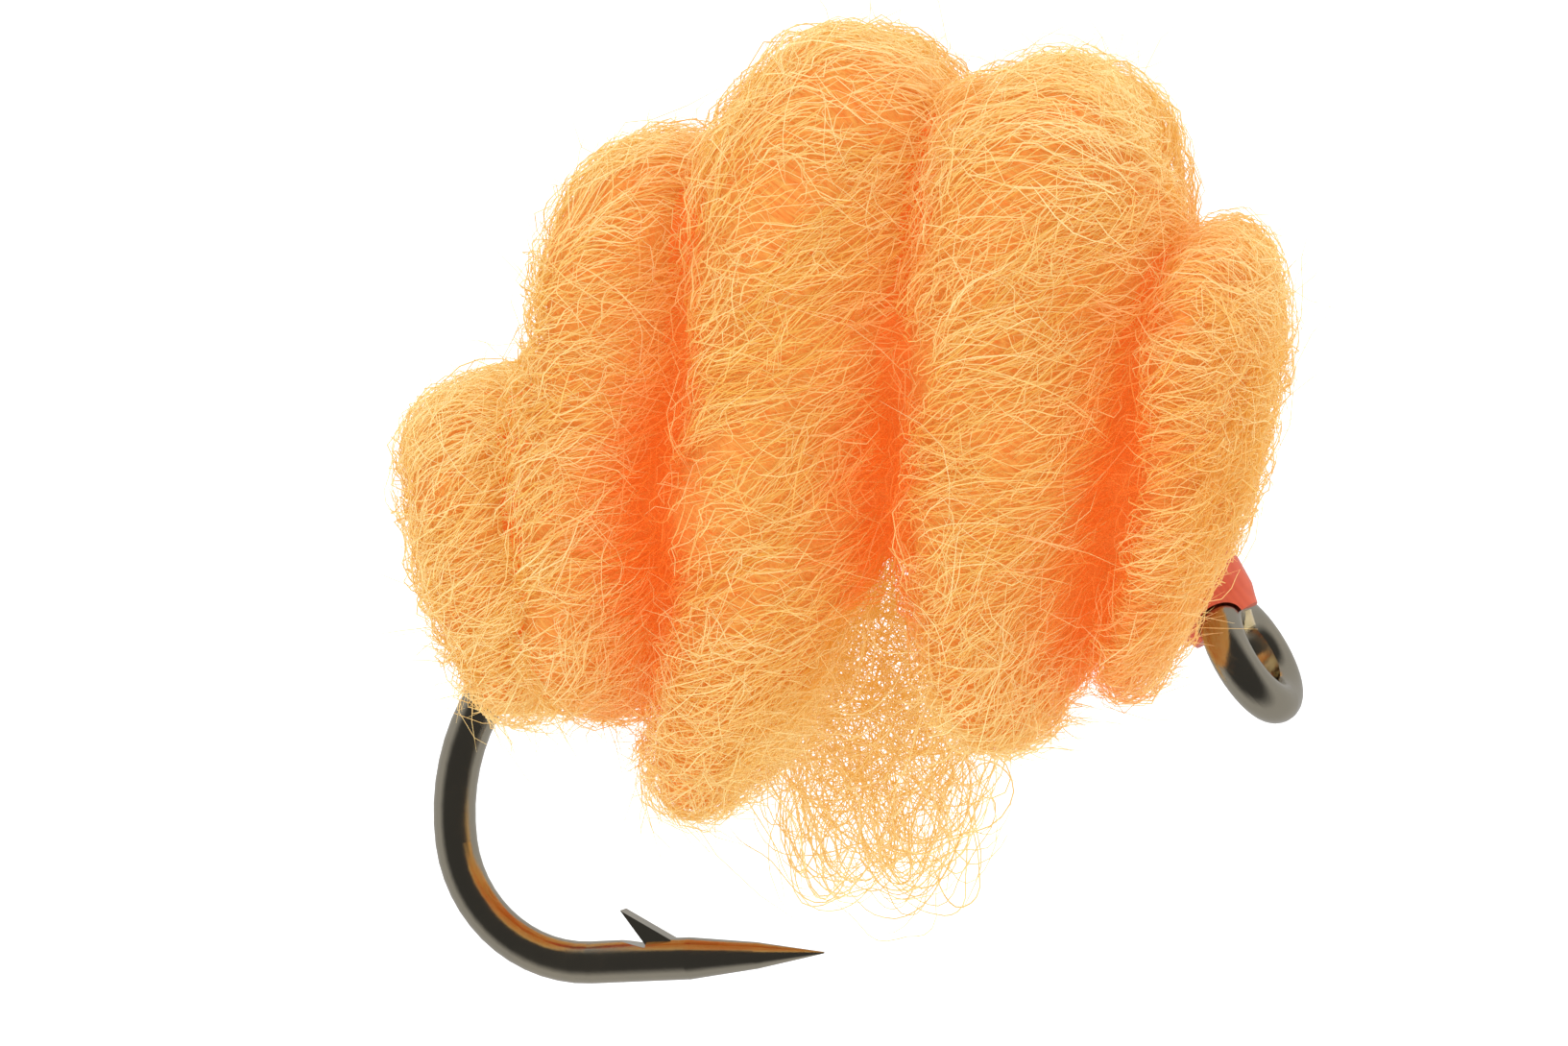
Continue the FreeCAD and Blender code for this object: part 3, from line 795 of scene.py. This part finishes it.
def close_up(made):
    """Swell each core towards the rolls beside it until they nearly touch."""
    moves = {}
    for (side, number), (_, _, surface, _) in made.items():
        gaps = np.full(len(surface.places), OPEN_GAP)
        for beside in (number - 1, number + 1):
            if (side, beside) in made:
                gaps = np.minimum(gaps, made[side, beside][2].gap(surface.places))
        moves[side, number] = SWELL_SHARE * gaps * np.exp(-(gaps / SWELL_REACH) ** 2)
    for key, (node, core, _, rng) in made.items():
        push_out(core, moves[key])
        places = shape_ends(corners_of(core.data), key[1])
        core.data.vertices.foreach_set("co", places.astype(np.float32).ravel())
        core.data.update()
        made[key] = (node, core, surface_of(core), rng)


def shape_ends(places, number):
    """Set a roll's width, draw its lower end in and aside, and slope its crown."""
    start, pull, narrowing, slope, width, kept = SHAPES[number]
    low, high = places[:, 2].min(), places[:, 2].max()
    heights, rears, fronts = level_edges(places)
    edge = np.interp(places[:, 2], heights, fronts if kept == "front" else rears)
    middle = np.interp(places[:, 2], heights, (fronts + rears) / 2)
    below = np.clip((start - places[:, 2]) / (start - low), 0, 1)
    shaped = places.copy()
    shaped[:, 0] += (width - 1) * (places[:, 0] - edge)
    shaped[:, 0] += pull * (start - low) * below ** 1.4 / END_REACH
    shaped[:, 0] -= narrowing * below * (places[:, 0] - middle)
    crown = np.clip((places[:, 2] - high + CROWN_REACH) / CROWN_REACH, 0, 1)
    front = places[places[:, 2] > high - CROWN_REACH, 0].max()
    shaped[:, 2] -= slope * crown * (front - places[:, 0])
    return shaped


def level_edges(places):
    """Heights from low to high, and the roll's rear and front edge at each."""
    levels = np.linspace(places[:, 2].min(), places[:, 2].max(), 12)
    rears, fronts = [], []
    for low, high in zip(levels[:-1], levels[1:]):
        inside = places[(places[:, 2] >= low) & (places[:, 2] <= high), 0]
        rears.append(inside.min())
        fronts.append(inside.max())
    return (levels[1:] + levels[:-1]) / 2, np.array(rears), np.array(fronts)


def build_rolls(yarn):
    """Every roll: a packed core with its fibres, on both sides of the shank."""
    rod = model_rod(ROD_SEGMENTS)
    wool = fibre_material(yarn, "wool_fibre")
    made = {}
    for side in ("near", "far"):
        for number in ROLLS:
            rng = np.random.default_rng(SEED + number + (0 if side == "near" else 50))
            node = f"yarn_loop_{side}_{number}"
            core = model_core(node, f"yarn_core_{side}_{number}", yarn.core_inset / MM, rng)
            made[side, number] = (node, core, surface_of(core), rng)
    close_up(made)
    build_heart(yarn, made, rod, wool)
    for (side, number), (node, core, surface, rng) in made.items():
        around = [(side, beside) for beside in (number - 1, number + 1)
                  if OPEN_ROLL not in (beside, number)]
        others = [made[key][2] for key in around if key in made]
        # painted shade between rolls, stored on the core
        write_number(core.data, "crevice", crevice_shade_at(surface.places, others))
        core.data.transform(Matrix.Scale(MM, 4))
        _, slope, _, share = ROLLS[number]
        settle(core, [node],
               core_material(yarn, f"packed_yarn_{side}_{number}", math.radians(slope)))
        set_number = yarn.near_fibres if side == "near" else yarn.far_fibres
        for label, ways in (("laid", ("laid",)), ("loose", ("loose", "stray", "wild"))):
            fibres = roll_fibres(f"{label}_fibres_{side}_{number}", ways, number, side == "near",
                                 surface, others, int(set_number * share), yarn, rng, rod)
            settle(fibres, [node], wool)


def build_heart(yarn, made, rod, wool):
    """Yarn deep between the rolls: all of them grown until they meet, then drawn in."""
    rng = np.random.default_rng(SEED + 77)
    nodes = [node for node, _, _, _ in made.values()]
    heart = join_copies([core for _, core, _, _ in made.values()], "yarn_heart", 1.0)
    for grown, size in HEART_STEPS:
        remesh_at(heart, size, 3)
        push_out(heart, grown)
    remesh_at(heart, HEART_CELL, 4)
    bpy.ops.object.shade_smooth()
    surface = surface_of(heart)
    # painted shade over the whole deeper mass
    write_number(heart.data, "crevice", np.full(len(surface.places), HEART_SHADE))
    heart.data.transform(Matrix.Scale(MM, 4))
    settle(heart, nodes, core_material(yarn, "deep_yarn", math.radians(30.0)))
    starts = surface.scatter(rng, HEART_STARTS)
    for _, _, core, _ in made.values():
        spots, normals = core.nearest(starts)
        outside = ((starts - spots) * normals).sum(-1) > HEART_CLEAR
        starts = starts[outside]
    total = len(starts)
    slopes = np.radians(rng.normal(28, 16, total))
    lengths = rng.uniform(0.8, 2.0, total)
    near = starts[:, 1] < 0
    lines, ups = [], []
    for side in (True, False):
        mine = near == side
        laid, normals = lay_lines(
            surface, starts[mine], slopes[mine], lengths[mine], rod[0].max(),
            lambda spots: np.broadcast_to(np.array([0.1, 0.0, 1.0]), spots.shape))
        normals = unit(smooth_rows(smooth_rows(normals)))
        lines.append(fluff(rng, laid, normals, LAYS["loose"], mine.sum(), np.ones(mine.sum())))
        ups.append(normals)
    lines = np.concatenate(lines)
    middles = lines[:, lines.shape[1] // 2]
    # painted shade on the deeper fibres, strongest at the height where the crevices' shade is deepest
    deep = np.clip(0.35 + 0.6 * tallness(middles), 0, 1)
    numbers = {"tone": rng.uniform(0.0, 0.6, total), "crevice": deep}
    radii = rng.uniform(0.7, 1.2, total) * yarn.fibre_radius / MM
    fibres = copy_rods("heart_fibres", rod, lines, np.concatenate(ups), radii, numbers)
    settle(fibres, nodes, wool)


# ---------------------------------------------------------------- loose tuft
def curly_lines(rng, starts, headings, lengths, low, high, segments, tight):
    """Slack fibres that curl as they go and turn back at the edges of a box."""
    count = len(starts)
    place, heading = starts.copy(), headings.copy()
    step = lengths / segments
    bend = rng.normal(0, tight, count)
    tilt = rng.normal(0, 0.25, count)
    middle, reach = (low + high) / 2, (high - low) / 2
    lines = [place.copy()]
    for _ in range(segments):
        tilt = tilt * 0.9 + rng.normal(0, 0.12, count)
        way = np.stack([np.cos(heading) * np.cos(tilt), np.sin(tilt),
                        np.sin(heading) * np.cos(tilt)], axis=-1)
        place = place + way * step[:, None]
        lines.append(place.copy())
        bend = bend * 0.93 + rng.normal(0, tight * 0.4, count)
        home = np.arctan2(middle[2] - place[:, 2], middle[0] - place[:, 0])
        off = np.abs((place - middle) / reach)
        stray = np.clip(np.maximum(off[:, 0], off[:, 2]) - 0.8, 0, 0.6)
        turn = (home - heading + math.pi) % (2 * math.pi) - math.pi
        heading = heading + step * bend + turn * stray
    return np.stack(lines, axis=1)


def build_tuft(yarn):
    """Loose curly fibres hanging below the shank."""
    rng = np.random.default_rng(SEED + 99)
    rod = model_rod(TUFT_SEGMENTS)
    low, high = (np.array(corner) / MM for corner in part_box("loose_fibre_tuft"))
    low = low - np.array([0.6, 0.3, 0.0])
    high = high + np.array([0.1, 0.3, 0.1])
    count = yarn.tuft_fibres
    starts = rng.uniform(low, high, (count, 3))
    starts[:, 2] = high[2] - (high[2] - low[2]) * rng.uniform(0.0, 0.75, count) ** 1.2
    headings = rng.normal(-1.7, 0.8, count)
    lengths = rng.uniform(3.0, 7.5, count)
    lines = curly_lines(rng, starts, headings, lengths, low, high, TUFT_SEGMENTS, 1.0)
    depth = np.clip((high[2] - lines[..., 2]) / (high[2] - low[2]), 0, 1)
    middle = (low[0] + high[0]) / 2
    lines[..., 0] += TUFT_TAPER * depth ** 2 * (middle - lines[..., 0])
    stragglers = rng.random(count) < STRAGGLER_SHARE
    sideways = rng.uniform(0.3, 1.7, (stragglers.sum(), 1))
    lines[stragglers, :, 0] += sideways * (1 - depth[stragglers])
    ups = np.broadcast_to(np.array([0.3, -1.0, 0.2]), lines.shape)
    numbers = {"tone": rng.uniform(0.5, 1.0, count), "crevice": np.zeros(count)}
    radii = rng.uniform(0.8, 1.5, count) * yarn.fibre_radius / MM
    piece = copy_rods("loose_fibres", rod, lines, ups, radii, numbers)
    settle(piece, ["loose_fibre_tuft"], fibre_material(yarn, "loose_fibre"))


# ---------------------------------------------------------------- stage
def look_from(azimuth, elevation):
    """Right, up and back of a camera that looks at the fly from two angles."""
    level, tall = math.cos(elevation), math.sin(elevation)
    right = Vector((math.cos(azimuth), math.sin(azimuth), 0.0))
    back = Vector((math.sin(azimuth) * level, -math.cos(azimuth) * level, tall))
    return right, back.cross(right), back


def add_light(name, way, power, tint):
    """Square soft light that faces the fly from a direction."""
    data = bpy.data.lights.new(name, "AREA")
    data.size = LIGHT_WIDTH
    data.energy = power
    data.color = tint
    lamp = bpy.data.objects.new(name, data)
    aim = Vector(way).normalized()
    lamp.location = fly_centre() + aim * LIGHT_DISTANCE
    hang(lamp, aim)


def hang(lamp, aim):
    """Put a light on the stage, facing back along a direction, unseen in the metal."""
    bpy.context.scene.collection.objects.link(lamp)
    lamp.rotation_mode = "QUATERNION"
    lamp.rotation_quaternion = aim.to_track_quat("Z", "Y")
    lamp.visible_glossy = False
    lamp.visible_camera = False


def add_sky(strength, spread):
    """Wide soft light from above that whitens the whole floor."""
    data = bpy.data.lights.new("sky_light", "SUN")
    data.energy = strength
    data.angle = spread
    hang(bpy.data.objects.new("sky_light", data), Vector((0.1, 0.15, 1.0)).normalized())


def fly_centre():
    """Middle of the fly's box."""
    low, high = (Vector(corner) for corner in CAD_BOX)
    return (low + high) / 2


def build_stage(stage):
    """Pale floor, white surroundings that are dark only behind the camera, and lights."""
    right, up, back = look_from(stage.azimuth, stage.elevation)
    data = bpy.data.cameras.new("camera")
    data.lens = stage.lens
    data.clip_start = 0.005
    data.clip_end = 10.0
    camera = bpy.data.objects.new("camera", data)
    bpy.context.scene.collection.objects.link(camera)
    camera.location = right * stage.slide + up * stage.rise + back * stage.distance
    camera.rotation_mode = "QUATERNION"
    camera.rotation_quaternion = back.to_track_quat("Z", "Y")
    bpy.context.scene.camera = camera
    deselect()
    floor_height = CAD_BOX[0][2] - stage.floor_drop
    bpy.ops.mesh.primitive_plane_add(size=6.0, location=(0, 0, floor_height))
    floor = bpy.context.object
    floor.name = "floor"
    bpy.ops.object.transform_apply(location=True, rotation=True, scale=True)
    paint = Paint("pale_floor")
    mottle = paint.noise(paint.place(), 0.02, 2.0)
    tint = paint.blend(mottle, (0.93, 0.93, 0.93, 1.0), (0.95, 0.95, 0.95, 1.0))
    floor.data.materials.append(paint.finish(Base_Color=tint, Roughness=0.9))
    floor.visible_glossy = False
    build_world(back)
    for name, (way, power, tint) in LIGHTS.items():
        add_light(name, way, power, tint)
    add_sky(1.7, math.radians(100.0))
    bpy.context.scene.view_settings.view_transform = "Standard"


def build_world(back):
    """White all round, and dim in front so that the wire keeps a dark middle."""
    world = bpy.data.worlds.new("light_tent")
    bpy.context.scene.world = world
    paint = Paint("light_tent", world)
    way = paint.node("ShaderNodeTexCoord", None, None, 0)
    facing = paint.node("ShaderNodeVectorMath", {"operation": "DOT_PRODUCT"}, {
        0: way, 1: tuple(back)}, 1)
    dim = paint.ramp(facing, (0.0, 1.0), (0.5, 0.0))
    seen = paint.node("ShaderNodeLightPath", None, None, 0)
    mirrored = paint.node("ShaderNodeLightPath", None, None, 3)
    plain = 0.25 + dim * 0.75
    strength = plain * (1.0 - mirrored) + (0.07 + dim * 0.48) * mirrored
    strength = strength * (1.0 - seen) + seen
    glow = paint.node("ShaderNodeBackground", None, {"Color": (1, 1, 1, 1), "Strength": strength})
    paint.node("ShaderNodeOutputWorld", None, {"Surface": glow})


# ---------------------------------------------------------------- operators
class EGGFLY_OT_stage(bpy.types.Operator):
    """Add the camera, the floor and the lights"""

    bl_idname = "egg_fly.stage"
    bl_label = "Stage"

    def execute(self, context):
        build_stage(context.scene.egg_fly_stage)
        return {"FINISHED"}


class EGGFLY_OT_hook(bpy.types.Operator):
    """Give the hook its bronzed finish"""

    bl_idname = "egg_fly.hook"
    bl_label = "Hook"

    def execute(self, context):
        paint_nodes(["hook"], metal_material(context.scene.egg_fly_metal))
        return {"FINISHED"}


class EGGFLY_OT_head(bpy.types.Operator):
    """Give the thread head, its cement and the thread under the yarn their finishes"""

    bl_idname = "egg_fly.head"
    bl_label = "Head and thread"

    def execute(self, context):
        thread = context.scene.egg_fly_thread
        paint_nodes(["thread_head"], head_material(thread))
        paint_nodes(["head_cement"], cement_material(thread))
        hidden = ["thread_base"] + [f"thread_tie_{number}" for number in range(1, 6)]
        paint_nodes(hidden, wound_material(thread))
        return {"FINISHED"}


class EGGFLY_OT_rolls(bpy.types.Operator):
    """Build every yarn roll with its fibres"""

    bl_idname = "egg_fly.rolls"
    bl_label = "Yarn rolls"

    def execute(self, context):
        yarn = context.scene.egg_fly_yarn
        build_rolls(yarn)
        runs = [f"yarn_run_{number}" for number in range(1, 5)]
        paint_nodes(runs, core_material(yarn, "crossing_yarn", 0.0))
        return {"FINISHED"}


class EGGFLY_OT_tuft(bpy.types.Operator):
    """Build the loose fibres below the shank"""

    bl_idname = "egg_fly.tuft"
    bl_label = "Loose tuft"

    def execute(self, context):
        build_tuft(context.scene.egg_fly_yarn)
        return {"FINISHED"}


def paint_nodes(names, material):
    """Give frame nodes a finish in their own material slots."""
    for name in names:
        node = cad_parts[name]
        if not node.material_slots:
            node.data.materials.append(material)
        for slot in node.material_slots:
            slot.material = material


class EGGFLY_PT_panel(bpy.types.Panel):
    """Sidebar panel that lists the builders"""

    bl_idname = "EGGFLY_PT_panel"
    bl_label = "Egg Fly"
    bl_space_type = "VIEW_3D"
    bl_region_type = "UI"
    bl_category = "Egg Fly"

    def draw(self, context):
        for operator in OPERATORS:
            self.layout.operator(operator.bl_idname)


OPERATORS = (
    EGGFLY_OT_stage,
    EGGFLY_OT_hook,
    EGGFLY_OT_head,
    EGGFLY_OT_rolls,
    EGGFLY_OT_tuft,
)
GROUPS = {
    "egg_fly_stage": StageSettings,
    "egg_fly_yarn": YarnSettings,
    "egg_fly_metal": MetalSettings,
    "egg_fly_thread": ThreadSettings,
}


def register():
    """Add the settings, the operators and the panel."""
    for name, group in GROUPS.items():
        bpy.utils.register_class(group)
        setattr(bpy.types.Scene, name, bpy.props.PointerProperty(type=group))
    for operator in OPERATORS:
        bpy.utils.register_class(operator)
    bpy.utils.register_class(EGGFLY_PT_panel)


def unregister():
    """Take the settings, the operators and the panel away again."""
    bpy.utils.unregister_class(EGGFLY_PT_panel)
    for operator in reversed(OPERATORS):
        bpy.utils.unregister_class(operator)
    for name, group in GROUPS.items():
        delattr(bpy.types.Scene, name)
        bpy.utils.unregister_class(group)


def main():
    """Build the whole fly."""
    register()
    bpy.ops.egg_fly.stage()
    bpy.ops.egg_fly.hook()
    bpy.ops.egg_fly.head()
    bpy.ops.egg_fly.rolls()
    bpy.ops.egg_fly.tuft()


if __name__ == "__main__":
    main()
